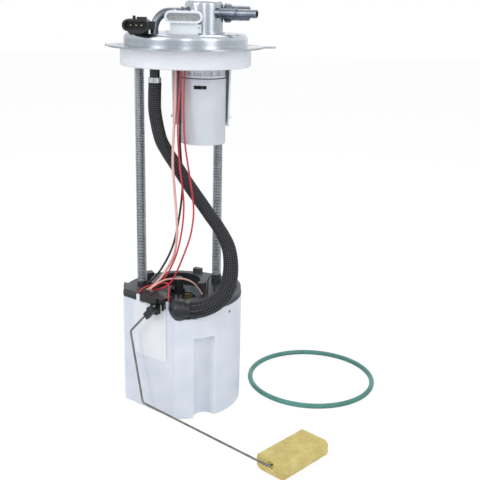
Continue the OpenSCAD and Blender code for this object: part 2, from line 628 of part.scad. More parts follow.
// The lid: rim, lip, rod sleeves, turret, lugs, and the way through for the hose elbow
module reservoir_lid() color([0.27, 0.28, 0.3]) above_foot() difference() {
  union() {
    translate([0, 0, cup_h + fit_gap]) linear_extrude(lid_t - fit_gap) plan(0);
    translate([0, 0, cup_h - lip_h]) linear_extrude(lip_h + 1) plan(cup_wall + side_gap);
    translate([pump_xy[0], pump_xy[1], lid_top - 1])
      cylinder(r = turret_r, h = turret_h + 1, $fn = round_fn);
    for (p = [left_rod, right_rod]) translate([p[0], p[1], lid_top - sleeve_h]) {
      cylinder(r = sleeve_r, h = sleeve_h, $fn = round_fn);
      cylinder(r = collar_r, h = sleeve_h + collar_h, $fn = round_fn);
    }
    translate([0, 0, lid_top - 1]) linear_extrude(pad_h + 1) intersection() {
      plan(0.6);
      translate([res_x, 0]) rotate(flat_turn) translate([-res_r, -flat_d]) square([res_r - 16, 15]);
    }
    // The thin upright hoop beside the turret
    translate([28, -9, lid_top - 1]) rotate([90, 0, 15]) linear_extrude(1.2) polygon([
      [-4.5, 0], [-4.2, 16.5], [-2, 20.8], [2, 20.8], [4.2, 16.5], [4.5, 0],
      [3.3, 0], [3, 16], [1.4, 19.6], [-1.4, 19.6], [-3, 16], [-3.3, 0]]);
    translate([-41, 18, lid_top - 1]) rotate([0, 0, 25]) translate([-4, -4, 0]) cube([8, 9, 14.5]);
    translate([12, 20, lid_top - 1]) rotate([0, 0, -25]) translate([-4.5, -3, 0]) cube([9, 6, 19.5]);
    translate([res_x, 0, lid_top - 1]) rotate([0, 0, -46])
      rotate_extrude(angle = 66, $fn = round_fn) translate([res_r - 4.5, 0]) square([4, 6]);
  }
  translate([pump_xy[0], pump_xy[1], cup_h - lip_h - 1])
    cylinder(r = turret_r - 3.5, h = lid_t + lip_h + turret_h - 1, $fn = round_fn);
  translate([pump_xy[0], pump_xy[1], cup_h]) cylinder(r = turret_r - 7, h = 30, $fn = round_fn);
  translate([0, 0, cup_h - lip_h - 1]) linear_extrude(lip_h + 1) difference() {
    plan(cup_wall + side_gap + 2);
    for (p = [left_rod, right_rod]) translate(p) circle(sleeve_r, $fn = round_fn);
  }
  for (p = [left_rod, right_rod]) translate([p[0], p[1], lid_top - sleeve_h - 1])
    cylinder(r = rod_r + rod_gap, h = sleeve_h + collar_h + 2, $fn = round_fn);
  translate([elbow_xy[0], elbow_xy[1], cup_h - lip_h - 1])
    cylinder(r = elbow_r + 1.5, h = 20, $fn = round_fn);
  translate([-13.5, -58, cup_h - lip_h - 1]) cube([15, 36, 30]);
  translate([-27, -45, lid_top]) cube([51, 29, 30]);
  translate([res_x, 0, cup_h - 1]) rotate([0, 0, flat_turn]) translate([23.7, -flat_d - 1, 0])
    cube([3.9, 3.7, 5]);
  translate([-4, -90, cup_h - lip_h - 1]) cube([40, 42.5, 20]);
  translate([51, -14, cup_h - lip_h - 1]) rotate([0, 0, 74]) linear_extrude(20) oval(15, 7);
}

// The outlet elbow: check valve tower, neck and the round turn into the hose
module outlet_elbow() color([0.12, 0.12, 0.13]) above_foot() {
  translate([tower_xy[0], tower_xy[1], elbow_z - 6]) revolve() half_cup(4.6, 28.2, 2.2);
  translate([tower_xy[0], tower_xy[1], elbow_z]) rotate([90, 0, 0])
    cylinder(r = 5.4, h = tower_xy[1] - elbow_xy[1] - 4, $fn = round_fn);
  // The round turn and its barb, drawn about the barb's axis
  translate([elbow_xy[0], elbow_xy[1], elbow_z]) rotate([0, 90, 0]) revolve() {
    intersection() {
      circle(elbow_r, $fn = 2 * blend_fn);
      translate([0, -elbow_r]) square([elbow_r, 2 * elbow_r]);
    }
    square([hose_end_r - 0.8, barb_len]);
  }
}

// The pump's shell, crimped over its end caps
module pump_shell() color("silver") at_pump() translate([0, 0, shell_foot]) {
  pipe(pump_r, pump_r - shell_wall, shell_h);
}
shaft_foot = shell_foot + 3;
cap_foot = shell_foot + shell_h - 10;
terminal_z = cap_foot + 18.8;
// Place and width of each pump terminal
terminal_places = [[10, -11, 5], [13.5, -5, 3]];
module pump_inlet_cap() color("lightgray") at_pump() {
  difference() {
    union() {
      translate([0, 0, shell_foot]) cylinder(r = pump_r - shell_wall - fit_gap, h = 14, $fn = round_fn);
      translate([0, 0, shell_foot - 8]) cylinder(r = 5, h = 10, $fn = round_fn);
    }
    translate([0, 0, shell_foot + 8]) cylinder(r = shaft_r + 0.04, h = 8, $fn = round_fn);
    translate([0, 0, shell_foot - 9]) cylinder(r = 3.5, h = 12, $fn = round_fn);
    translate([9, 0, shell_foot - 1]) cylinder(r = 2.5, h = 20, $fn = 24);
  }
}
// The plate above the impeller, with the motor's lower bearing
module pump_upper_plate() color("lightgray") at_pump() translate([0, 0, shell_foot + 18.4])
  difference() {
    cylinder(r = pump_r - shell_wall - fit_gap, h = 5, $fn = round_fn);
    translate([0, 0, -1]) cylinder(r = shaft_r + 0.04, h = 8, $fn = round_fn);
    translate([-12, 0, -1]) cylinder(r = 2, h = 8, $fn = 24);
  }
// The impeller: a thin disc with a ring of vane slots
module impeller() color([0.2, 0.2, 0.22]) at_pump() translate([0, 0, shell_foot + 14.3]) difference() {
  cylinder(r = pump_r - shell_wall - 1, h = 3.8, $fn = round_fn);
  for (i = [0 : vane_count - 1]) rotate([0, 0, i * 360 / vane_count])
    translate([pump_r - shell_wall - 4, -0.8, -1]) cube([2.2, 1.6, 6]);
  translate([0, 0, -1]) cylinder(r = shaft_r + 0.005, h = 6, $fn = round_fn);
}
module pump_magnets() color([0.2, 0.2, 0.2]) at_pump() for (turn = [15, 195])
  translate([0, 0, shell_foot + 26]) rotate([0, 0, turn]) rotate_extrude(angle = 150, $fn = round_fn)
    translate([14.6, 0]) square([pump_r - shell_wall - fit_gap - 14.6, 38]);
// The armature: shaft, slotted core, winding heads and commutator
module armature() color("peru") at_pump() {
  translate([0, 0, shell_foot + 9]) cylinder(r = shaft_r, h = shell_h - 12, $fn = round_fn);
  translate([0, 0, shell_foot + 30]) difference() {
    cylinder(r = 13.8, h = 30, $fn = round_fn);
    for (turn = [0 : 45 : 315]) rotate([0, 0, turn]) translate([6, -1, -1]) cube([10, 2, 32]);
  }
  for (z = [shell_foot + 26, shell_foot + 60]) translate([0, 0, z])
    cylinder(r = 10, h = 4, $fn = round_fn);
  translate([0, 0, cap_foot - 5]) cylinder(r = 5.5, h = 8, $fn = round_fn);
}
// The black end cap: brush holders inside, a domed top, and the boss under the outlet tower
module pump_end_cap() color([0.14, 0.14, 0.15]) at_pump() difference() {
  union() {
    translate([0, 0, cap_foot]) cylinder(r = pump_r - shell_wall - fit_gap, h = 10.5, $fn = round_fn);
    translate([0, 0, cap_foot + 10.2]) revolve() half_cup(pump_r, 12, 3);
    translate([tower_xy[0] - pump_xy[0], tower_xy[1] - pump_xy[1], cap_foot + 10.2])
      cylinder(r = 6, h = elbow_z - 6 - cap_foot - 10.2 - fit_gap, $fn = round_fn);
  }
  translate([0, 0, cap_foot - 1]) cylinder(r = 7, h = 5, $fn = round_fn);
  translate([0, 0, cap_foot - 1]) cylinder(r = shaft_r + 0.04, h = 12, $fn = round_fn);
  for (s = [-1, 1]) translate([s * 9.5 - 3, -2.5, cap_foot - 1]) cube([6, 5, 5]);
  for (p = terminal_places)
    translate([p[0] - p[2] / 2 - fit_gap, p[1] - 0.4 - fit_gap, terminal_z - fit_gap])
      cube([p[2] + 2 * fit_gap, 0.8 + 2 * fit_gap, 12]);
}
module pump_brushes() color([0.25, 0.22, 0.2]) at_pump() for (s = [-1, 1])
  translate([s * 9 - 2.9, -2.2, cap_foot - 2]) cube([5.8, 4.4, 5.5]);
module pump_terminals() color("goldenrod") at_pump() for (p = terminal_places)
  translate([p[0] - p[2] / 2, p[1] - 0.4, terminal_z]) cube([p[2], 0.8, 11]);
module pump_isolator() color([0.18, 0.18, 0.18]) at_pump() for (z = [28, 42])
  translate([0, 0, z]) pipe(pump_r + 3.5, pump_r + fit_gap, 5);
strainer_foot = cup_floor + cup_wall + side_gap;
module pump_strainer() color([0.75, 0.78, 0.8]) at_pump() translate([0, 0, strainer_foot]) difference() {
  revolve() half_cup(pump_r + 2, shell_foot - 8 - strainer_foot + 3, 2);
  translate([0, 0, shell_foot - 8 - strainer_foot])
    cylinder(r = 5 + fit_gap, h = 9, $fn = round_fn);
  translate([0, 0, 2]) cylinder(r = 3.5, h = 20, $fn = round_fn);
}
// The foot valve: a rubber umbrella over the ring of inlet holes
module foot_valve() color([0.35, 0.2, 0.15]) above_foot() translate([20, 32, 0]) {
  translate([0, 0, cup_floor - 1.5]) cylinder(r1 = 1.6, r2 = 3, h = 1.5 - fit_gap, $fn = round_fn);
  translate([0, 0, cup_floor - fit_gap - 0.5]) cylinder(r = 2 - fit_gap, h = cup_wall + 1, $fn = round_fn);
  translate([0, 0, cup_floor + cup_wall + fit_gap]) revolve() half_cup(7.6, 1.4, 0.6);
}

module at_filter(z) { above_foot() translate([filter_xy[0], filter_xy[1], z]) children(); }
module filter_housing() color([0.2, 0.2, 0.21]) at_filter(24) difference() {
  union() {
    revolve() half_cup(filter_r, 76, 3);
    cylinder(r = filter_r, h = 20, $fn = round_fn);
    translate([0, 0, 75]) cylinder(r = 7, h = cup_h - 24 - 75 - fit_gap, $fn = round_fn);
  }
  translate([0, 0, 1.5]) cylinder(r = filter_r - 1.5, h = 72, $fn = round_fn);
  translate([0, 0, 70]) cylinder(r = 3, h = 40, $fn = 24);
}
module filter_element() color("wheat") at_filter(24 + 1.5 + fit_gap)
  pipe(filter_r - 3, 5, 71.9);
module pressure_regulator() color("silver") above_foot()
  translate([-12, 40, cup_h - 32 - fit_gap]) revolve() {
    half_cup(9, 20, 2);
    square([6, 32]);
  }

// The white plate on the reservoir's flat; each finger's start, width and height above the cup
fingers = [[-16, 4.5, 8], [-5, 11.5, 3.5], [17, 5.4, 5.5]];
module sender_plate() color("white") on_flat() translate([0, -flat_d - plate_t - fit_gap, 0]) {
  translate([-20, 0, plate_foot]) cube([45.5, plate_t, cup_h + 0.5 - plate_foot]);
  for (f = fingers) translate([f[0], 0, cup_h - 4]) cube([f[1], plate_t, f[2] + 4]);
}
// The black sender body: a block over the fingers, its foot on the lid, the pivot's bracket in
// front of the plate with its pin, and the pocket of the resistor card
sender_z = cup_h + 3.8;
module sender_body() color([0.1, 0.1, 0.1]) on_flat() difference() {
  union() {
    translate([-6.5, -58, sender_z]) cube([23, 20, 7.7]);
    translate([16.4, -56.3, sender_z + 2.1]) cube([7.2, 12.8, 5.6]);
    translate([22.6, -56.3, sender_z - 4]) cube([1.8, 2, 8]);
    translate([-15.7, -51, lid_top + side_gap]) cube([32.2, 13, sender_z + 6.7 - lid_top - side_gap]);
    translate([10, sender_front, cup_h - 5]) cube([9, 6, sender_z - cup_h + 6]);
    translate([pivot[0], sender_front + 1, pivot[1]]) rotate([90, 0, 0])
      cylinder(r = 2, h = sender_front + 1 - pin_tip, $fn = round_fn);
  }
  translate([-8.2, -39.9, sender_z + 0.1]) cube([16.4, 3, 5.6]);
}
module resistor_card() color("ivory") on_flat()
  translate([-8, -39.8, sender_z + 0.2]) cube([16, 1.6, 5.3]);

// The bent wire: down, across under the cup and then through the float
bend_up = [pivot[0] + 7, arm_y, pivot[1] + 7.5];
bend_left = [-14.2, arm_y, 90.6];
bend_low = [2.3, arm_y, 12.9];
bend_float = [float_x, float_y, float_z];
wire_end = bend_float + (float_start + float_l + 2) * [-sin(float_skew), cos(float_skew), 0];
arm_points = [bend_up, bend_left, bend_low, bend_float, wire_end];
hub_turn = atan2(bend_up[2] - bend_left[2], bend_up[0] - bend_left[0]);
module arm_path(r) {
  for (i = [0 : len(arm_points) - 2]) {
    v = arm_points[i + 1] - arm_points[i];
    translate(arm_points[i]) rotate([0, acos(v[2] / norm(v)), atan2(v[1], v[0])])
      cylinder(r = r, h = norm(v), $fn = blend_fn);
  }
  for (i = [1 : len(arm_points) - 2]) translate(arm_points[i]) sphere(r = r * 1.5, $fn = blend_fn);
}
module float_arm() color("lightslategray") on_flat() arm_path(arm_wire_r);
// The arm's black hub: a clip round the pivot pin and along the wire
module arm_hub() color([0.1, 0.1, 0.1]) on_flat() difference() {
  translate([pivot[0], sender_front - side_gap, pivot[1]]) {
    rotate([90, 0, 0]) cylinder(r = 4.6, h = 5.1, $fn = round_fn);
    rotate([0, -hub_turn, 0]) translate([-9, -6.6, -4.7]) cube([16, 4.6, 7.1]);
  }
  translate([pivot[0], pin_tip - 0.1, pivot[1]]) rotate([-90, 0, 0])
    cylinder(r = 2.05, h = 10, $fn = round_fn);
  arm_path(arm_wire_r + 0.01);
}

// The foam float: a long block with round edges, its hole, and the round recess at the wire
module at_float() { on_flat() translate(bend_float) rotate([0, 0, float_skew]) children(); }
module float() color([0.84, 0.77, 0.49]) at_float() difference() {
  translate([0, float_start + float_l, -float_sag]) rotate([90, 0, 0]) linear_extrude(float_l) {
    square([float_w - 2 * float_corner, float_t], center = true);
    square([float_w, float_t - 2 * float_corner], center = true);
    for (sx = [-1, 1], sz = [-1, 1])
      translate([sx * (float_w / 2 - float_corner), sz * (float_t / 2 - float_corner)])
        circle(float_corner, $fn = blend_fn);
  }
  translate([0, float_start - 1, 0]) rotate([-90, 0, 0]) {
    cylinder(r = arm_wire_r + fit_gap, h = float_l + 2, $fn = round_fn);
    cylinder(r = 4, h = 2.5, $fn = round_fn);
  }
}

module tank_seal() color([0.3, 0.55, 0.5]) above_foot() translate([seal_xy[0], seal_xy[1], seal_cord_r])
  revolve() translate([seal_r, 0]) circle(seal_cord_r, $fn = blend_fn);

flange_cover();
top_can();
fuel_outlet_fitting();
vapour_fitting();
crossover_tube();
pressure_sensor();
sensor_terminals();
sensor_seal();
harness_connector();
connector_terminals();
flange_spigot();
guide_rod_left();
guide_rod_right();
rod_stop_clips();
spring_left();
spring_right();
hose_stub();
hose_clamp();
fuel_hose();
valve_bracket();
vent_valve_body();
vent_valve_cap();
vent_valve_gasket();
vent_valve_float();
red_pump_wire();
red_sender_wire();
pink_wire();
black_wire();
pink_link_wire();
red_link_wire();
reservoir_cup();
reservoir_lid();
outlet_elbow();
pump_shell();
pump_end_cap();
pump_terminals();
pump_magnets();
pump_inlet_cap();
pump_upper_plate();
pump_brushes();
pump_isolator();
pump_strainer();
armature();
impeller();
foot_valve();
filter_housing();
filter_element();
pressure_regulator();
sender_plate();
sender_body();
resistor_card();
arm_hub();
float_arm();
float();
tank_seal();
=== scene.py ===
"""The looks of a tank fuel-pump module: plated flange, sprung rods, sleeved hose, wires, milky
reservoir, level float and tank seal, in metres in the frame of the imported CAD."""
import math

import bmesh
import bpy
import numpy as np
from mathutils import Matrix


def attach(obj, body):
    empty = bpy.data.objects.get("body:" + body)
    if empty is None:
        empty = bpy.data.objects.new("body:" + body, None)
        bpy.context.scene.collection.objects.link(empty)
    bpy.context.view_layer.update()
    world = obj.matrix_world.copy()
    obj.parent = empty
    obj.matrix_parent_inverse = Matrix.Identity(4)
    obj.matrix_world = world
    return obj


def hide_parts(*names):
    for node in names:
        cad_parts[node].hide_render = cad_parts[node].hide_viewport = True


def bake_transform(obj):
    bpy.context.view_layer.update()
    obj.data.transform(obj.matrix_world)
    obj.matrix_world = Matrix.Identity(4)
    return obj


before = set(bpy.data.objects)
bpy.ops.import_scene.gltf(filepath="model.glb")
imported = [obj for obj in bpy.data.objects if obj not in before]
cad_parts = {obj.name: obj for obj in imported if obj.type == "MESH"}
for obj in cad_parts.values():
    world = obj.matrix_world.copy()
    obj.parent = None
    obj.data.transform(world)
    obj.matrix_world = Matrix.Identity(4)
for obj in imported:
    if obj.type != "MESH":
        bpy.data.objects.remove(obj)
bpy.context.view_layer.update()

scene = bpy.context.scene
scene.view_settings.view_transform = "Standard"
MM = 0.001
# From the flange's underside down to the floor, in millimetres
DROP = 380
# The reservoir's middle, and the turn of its flat side, where the level sender sits
RESERVOIR_X = -3.4
FLAT_TURN = math.radians(-38.3)


def place_camera():
    """The photograph's view: 0.83 m in front, level with the flange, tilted down 16.4 degrees."""
    lens = bpy.data.cameras.new("camera")
    lens.sensor_fit = "HORIZONTAL"
    lens.sensor_width = 36
    lens.lens = 60.53
    lens.clip_start = 0.05
    camera = bpy.data.objects.new("camera", lens)
    camera.matrix_world = (
        Matrix.Translation((0.0581, -0.828, 0.044))
        @ Matrix.Rotation(math.radians(73.59), 4, "X")
        @ Matrix.Rotation(math.radians(1.2), 4, "Z")
    )
    scene.collection.objects.link(camera)
    scene.camera = camera


def add(tree, kind, sockets=None, stops=None, **settings):
    """Adds one shader node: settings are its own, a socket given an output is linked to it, any
    other socket is set, and stops are a colour ramp's places and colours."""
    made = tree.nodes.new("ShaderNode" + kind)
    for key, value in settings.items():
        setattr(made, key, value)
    for key, value in (sockets or {}).items():
        if isinstance(value, bpy.types.NodeSocket):
            tree.links.new(value, made.inputs[key])
        else:
            made.inputs[key].default_value = value
    if stops:
        ramp = made.color_ramp
        while len(ramp.elements) < len(stops):
            ramp.elements.new(0.5)
        for element, (place, colour) in zip(ramp.elements, stops):
            element.position = place
            element.color = linear(colour)
    return made


def linear(colour):
    """Turns an sRGB hex colour, or a grey from 0 to 1, to Blender's linear values."""
    if not isinstance(colour, str):
        return (colour, colour, colour, 1)
    c = np.array([int(colour[i : i + 2], 16) / 255 for i in (1, 3, 5)])
    c = np.where(c <= 0.04045, c / 12.92, ((c + 0.055) / 1.055) ** 2.4)
    return (*(float(v) for v in c), 1)


def light_world():
    """Soft grey light all round; the camera, gloss and glass see white."""
    world = bpy.data.worlds.new("studio")
    scene.world = world
    world.use_nodes = True
    tree = world.node_tree
    tree.nodes.clear()
    rays = add(tree, "LightPath")
    seen = rays.outputs["Is Camera Ray"]
    for kind in ("Is Glossy Ray", "Is Transmission Ray"):
        seen = add(tree, "Math", {0: seen, 1: rays.outputs[kind]}, operation="MAXIMUM").outputs[0]
    soft = add(tree, "Background", {"Color": linear("#f4f7ff"), "Strength": 0.6})
    white = add(tree, "Background", {"Color": (1, 1, 1, 1), "Strength": 1.0})
    both = add(tree, "MixShader", {0: seen, 1: soft.outputs[0], 2: white.outputs[0]})
    add(tree, "OutputWorld", {"Surface": both.outputs[0]})


def place_lamp(name, place, aim, size, watts):
    """A soft box at place whose face looks at aim."""
    lamp = bpy.data.lights.new(name, "AREA")
    lamp.shape = "RECTANGLE"
    lamp.size, lamp.size_y = size
    lamp.energy = watts
    box = bpy.data.objects.new(name, lamp)
    way = np.array(aim, float) - np.array(place, float)
    turn = math.atan2(way[0], -way[1])
    tilt = math.atan2(math.hypot(way[0], way[1]), -way[2])
    box.matrix_world = (
        Matrix.Translation(place)
        @ Matrix.Rotation(turn, 4, "Z")
        @ Matrix.Rotation(-tilt, 4, "X")
    )
    scene.collection.objects.link(box)


def lay_floor():
    """A pale floor that keeps a faint shadow and looks white to the camera."""
    half, z = 6.0, -DROP * MM
    corners = [(-half, -half, z), (half, -half, z), (half, half, z), (-half, half, z)]
    floor = make_mesh("studio_floor", np.array(corners), np.array([[0, 1, 2, 3]]), smooth=False)
    paint = bpy.data.materials.new("white_studio_paper")
    paint.use_nodes = True
    tree = paint.node_tree
    tree.nodes.clear()
    paper = add(tree, "BsdfDiffuse", {"Color": linear("#f4f4f4")})
    glow = add(tree, "Emission", {"Color": (1, 1, 1, 1), "Strength": 1.06})
    rays = add(tree, "LightPath")
    share = add(tree, "Math", {0: rays.outputs["Is Camera Ray"], 1: 0.86}, operation="MULTIPLY")
    both = add(tree, "MixShader", {0: share.outputs[0], 1: paper.outputs[0], 2: glow.outputs[0]})
    add(tree, "OutputMaterial", {"Surface": both.outputs[0]})
    floor.data.materials.append(paint)


def make_mesh(name, points, faces, smooth=True, uv=None):
    """A mesh object from arrays of points and faces, with its UVs given for each point."""
    mesh = bpy.data.meshes.new(name)
    mesh.from_pydata(points.tolist(), [], faces.tolist())
    mesh.polygons.foreach_set("use_smooth", [smooth] * len(mesh.polygons))
    if uv is not None:
        layer = mesh.uv_layers.new(name="surface")
        corner = np.empty(len(mesh.loops), np.int32)
        mesh.loops.foreach_get("vertex_index", corner)
        layer.data.foreach_set("uv", uv[corner].astype(np.float32).ravel())
    mesh.update()
    piece = bpy.data.objects.new(name, mesh)
    scene.collection.objects.link(piece)
    return piece


def smooth_route(route, gap, steps=24):
    """Points gap apart on the cubic curve through the route, whose slope at each point is half
    the chord between that point's neighbours. Route and gap are in millimetres. Each span is
    worked out in steps before the points are spread evenly."""
    p = np.array(route, float)
    p = np.vstack([2 * p[0] - p[1], p, 2 * p[-1] - p[-2]])
    t = np.linspace(0, 1, steps, endpoint=False)[None, :, None]
    a, b, c, d = (p[i : len(p) - 3 + i][:, None, :] for i in range(4))
    square, cube = 2 * a - 5 * b + 4 * c - d, 3 * b - a - 3 * c + d
    q = 0.5 * (2 * b + (c - a) * t + square * t**2 + cube * t**3)
    q = np.vstack([q.reshape(-1, 3), p[-2]])
    return even_steps(q, gap)


def even_steps(q, gap):
    """The same line with its points spread evenly along its length."""
    run = np.concatenate([[0], np.cumsum(np.linalg.norm(np.diff(q, axis=0), axis=1))])
    s = np.linspace(0, run[-1], max(2, int(round(run[-1] / gap)) + 1))
    return np.stack([np.interp(s, run, q[:, k]) for k in range(3)], axis=1)


def tube(name, path, radius, sides, toward=(0, 1, 0)):
    """A closed tube: at each path point a circle of the given radius, square to the path, whose
    first spoke is toward less its part along the path. radius may change along the path.
    Its UVs run from 0 to 1 round it, and along it in millimetres."""
    path = np.asarray(path, float)
    along = np.gradient(path, axis=0)
    along /= np.linalg.norm(along, axis=1)[:, None]
    spoke = np.array(toward, float) - along * (along @ np.array(toward, float))[:, None]
    spoke /= np.linalg.norm(spoke, axis=1)[:, None]
    other = np.cross(along, spoke)
    turn = np.linspace(0, 2 * math.pi, sides + 1)
    r = np.broadcast_to(np.asarray(radius, float), len(path))[:, None, None]
    ring = np.cos(turn)[:, None] * spoke[:, None, :] + np.sin(turn)[:, None] * other[:, None, :]
    points = path[:, None, :] + r * ring
    run = np.concatenate([[0], np.cumsum(np.linalg.norm(np.diff(path, axis=0), axis=1))])
    uv = np.stack(np.broadcast_arrays(turn[None, :] / (2 * math.pi), run[:, None]), axis=-1)
    n, k = len(path), sides + 1
    i, j = np.meshgrid(np.arange(n - 1), np.arange(sides), indexing="ij")
    first = (i * k + j).ravel()
    faces = np.stack([first, first + 1, first + k + 1, first + k], axis=1)
    points = np.concatenate([points.reshape(-1, 3), path[:1], path[-1:]])
    uv = np.concatenate([uv.reshape(-1, 2), [[0, 0]], [[0, 0]]])
    piece = make_mesh(name, points * MM, faces, uv=uv)
    close_ends(piece, n, sides)
    return piece


def close_ends(piece, n, sides):
    """Adds a fan of triangles over each end of a tube of n rings and joins its seam. The two
    ends' middle points come after the rings' points."""
    k = sides + 1
    work = bmesh.new()
    work.from_mesh(piece.data)
    work.verts.ensure_lookup_table()
    v = work.verts
    for centre, base, flip in ((n * k, 0, True), (n * k + 1, (n - 1) * k, False)):
        for j in range(sides):
            a, b = v[base + j], v[base + j + 1]
            work.faces.new((v[centre], b, a) if flip else (v[centre], a, b)).smooth = False
    bmesh.ops.remove_doubles(work, verts=work.verts, dist=1e-7)
    work.to_mesh(piece.data)
    work.free()
    piece.data.update()


def helix(centre, radius, foot, top, turns, steps=14):
    """A spring's line: round the centre at the radius, rising evenly, with its first and last
    half turns flat, in steps for each turn. Millimetres."""
    s = np.linspace(0, 1, turns * steps + 1)
    flat = 1.0 / turns
    rise = np.clip((s - flat * 0.5) / (1 - flat), 0, 1)
    a = 2 * math.pi * turns * s
    x, y = centre[0] + radius * np.cos(a), centre[1] + radius * np.sin(a)
    return np.stack([x, y, foot + (top - foot) * rise], axis=1)


def round_corners(points, radius, steps):
    """The points' line with each corner replaced by a curve of about the given bend radius: the
    blend (1-t)^2 a + 2t(1-t) corner + t^2 b between the straights' ends a and b."""
    p = np.array(points, float)
    line = [p[0]]
    t = np.linspace(0, 1, steps)[:, None]
    for before, corner, after in zip(p[:-2], p[1:-1], p[2:]):
        u = (before - corner) / np.linalg.norm(before - corner)
        w = (after - corner) / np.linalg.norm(after - corner)
        cut = radius / math.tan(math.acos(np.clip(u @ w, -1, 1)) / 2)
        a, b = corner + u * cut, corner + w * cut
        line.extend((1 - t) ** 2 * a + 2 * t * (1 - t) * corner + t**2 * b)
    return np.array(line + [p[-1]])


def flat_frame(points):
    """Points given along the sender's flat, into the reservoir and above its foot, in the frame."""
    p = np.array(points, float)
    c, s = math.cos(FLAT_TURN), math.sin(FLAT_TURN)
    x, y = RESERVOIR_X + p[:, 0] * c - p[:, 1] * s, p[:, 0] * s + p[:, 1] * c
    return np.stack([x, y, p[:, 2] - DROP], axis=1)


def start_finish(name, sockets):
    """A named material with its Principled shader, and its tree and Object coordinates."""
    material = bpy.data.materials.new(name)
    material.use_nodes = True
    tree = material.node_tree
    tree.nodes.clear()
    shader = add(tree, "BsdfPrincipled", sockets)
    add(tree, "OutputMaterial", {"Surface": shader.outputs[0]})
    place = add(tree, "TexCoord").outputs["Object"]
    return material, tree, shader, place


def moulded(name, light, dark, roughness, grain=0.6, depth=0.02, glow=None):
    """Injection-moulded plastic: one colour with a slow drift, and a fine eroded-tool grain.
    Grain and depth are in millimetres. Glow is the share of light that scatters evenly below
    the skin, and how far in metres."""
    sockets = {"Roughness": roughness, "IOR": 1.5}
    if glow:
        sockets.update({"Subsurface Weight": glow[0], "Subsurface Radius": (1, 1, 1),
                        "Subsurface Scale": glow[1]})
    material, tree, shader, place = start_finish(name, sockets)
    drift = add(tree, "TexNoise", {"Vector": place, "Scale": 28, "Detail": 3, "Roughness": 0.5})
    colour = add(tree, "ValToRGB", {"Fac": drift.outputs["Fac"]}, stops=[(0.36, dark), (0.66, light)])
    tree.links.new(colour.outputs[0], shader.inputs["Base Color"])
    grit = add(tree, "TexNoise", {"Vector": place, "Scale": 1000 / grain, "Detail": 2})
    bump = add(tree, "Bump", {"Height": grit.outputs["Fac"], "Strength": 0.35, "Distance": depth * MM})
    tree.links.new(bump.outputs[0], shader.inputs["Normal"])
    return material


def metal(name, light, dark, roughness, grain, depth):
    """Bare or plated metal: a soft mottle in colour and roughness, stretched along its grain.
    Grain is how many spots it has in a metre along each axis, and depth is in millimetres."""
    material, tree, shader, place = start_finish(name, {"Metallic": 1.0})
    lie = add(tree, "Mapping", {"Vector": place, "Scale": grain})
    mottle = add(tree, "TexNoise", {"Vector": lie.outputs[0], "Scale": 1.0, "Detail": 5,
                                    "Roughness": 0.6})
    colour = add(tree, "ValToRGB", {"Fac": mottle.outputs["Fac"]}, stops=[(0.3, dark), (0.7, light)])
    tree.links.new(colour.outputs[0], shader.inputs["Base Color"])
    rough = add(tree, "MapRange", {"Value": mottle.outputs["Fac"], "From Min": 0.3, "From Max": 0.7,
                                   "To Min": roughness * 1.2, "To Max": roughness * 0.85})
    tree.links.new(rough.outputs[0], shader.inputs["Roughness"])
    bump = add(tree, "Bump", {"Height": mottle.outputs["Fac"], "Strength": 0.3, "Distance": depth * MM})
    tree.links.new(bump.outputs[0], shader.inputs["Normal"])
    return material


def braided_sleeve():
    """Braided polyester sleeve: black strands crossing both ways, 10 round the hose and 4.4 mm
    apart along it, with a soft sheen. Near the elbow the strands are drawn out lengthwise. The
    strands' height is the product of sin 2 pi (10 u + v / 4.4) and sin 2 pi (10 u - v / 4.4)."""
    strands, pitch, drawn_from, drawn_to = 10.0, 4.4, 255.0, 285.0
    material, tree, shader, place = start_finish("braided_polyester_sleeve", {
        "Roughness": 0.55, "Specular IOR Level": 0.3, "Sheen Weight": 0.05, "Sheen Roughness": 0.4})
    surface = add(tree, "UVMap", uv_map="surface").outputs[0]
    parts = add(tree, "SeparateXYZ", {0: surface})
    round_it = add(tree, "Math", {0: parts.outputs[0], 1: strands}, operation="MULTIPLY").outputs[0]
    along = add(tree, "Math", {0: parts.outputs[1], 1: 1 / pitch}, operation="MULTIPLY").outputs[0]

    def wave(lie):
        phase = add(tree, "Math", {0: lie, 1: 2 * math.pi}, operation="MULTIPLY")
        return add(tree, "Math", {0: phase.outputs[0]}, operation="SINE").outputs[0]

    one = wave(add(tree, "Math", {0: round_it, 1: along}, operation="ADD").outputs[0])
    two = wave(add(tree, "Math", {0: round_it, 1: along}, operation="SUBTRACT").outputs[0])
    cross = add(tree, "Math", {0: one, 1: two}, operation="MULTIPLY").outputs[0]
    drawn = add(tree, "MapRange", {"Value": parts.outputs[1], "From Min": drawn_from,
                                   "From Max": drawn_to, "To Max": 0.75}).outputs[0]
    weave = add(tree, "Mix", {0: drawn, 2: cross, 3: wave(round_it)}, data_type="FLOAT").outputs[0]
    height = add(tree, "MapRange", {"Value": weave, "From Min": -1.0, "From Max": 1.0}).outputs[0]
    # Pale grey flecks scattered over the sleeve are painted highlights, standing in for glints on the
    # strands
    glint_noise = add(tree, "TexNoise", {"Vector": place, "Scale": 700, "Detail": 3, "Roughness": 0.7})
    glint_flecks = add(tree, "MapRange", {"Value": glint_noise.outputs["Fac"], "From Min": 0.62, "From Max": 0.72,
                                    "To Max": 0.3})
    # The strands' colour follows their height: painted shade in the hollows between strands and a painted
    # highlight on their crests
    colour = add(tree, "ValToRGB", {"Fac": height},
                 stops=[(0.12, "#030304"), (0.5, "#121316"), (0.95, "#4c4d53")])
    glinting = add(tree, "Mix", {0: glint_flecks.outputs[0], 6: colour.outputs[0], 7: linear("#8a8c90")},
                data_type="RGBA")
    tree.links.new(glinting.outputs[2], shader.inputs["Base Color"])
    bump = add(tree, "Bump", {"Height": height, "Strength": 0.9, "Distance": 0.4 * MM})
    tree.links.new(bump.outputs[0], shader.inputs["Normal"])
    return material


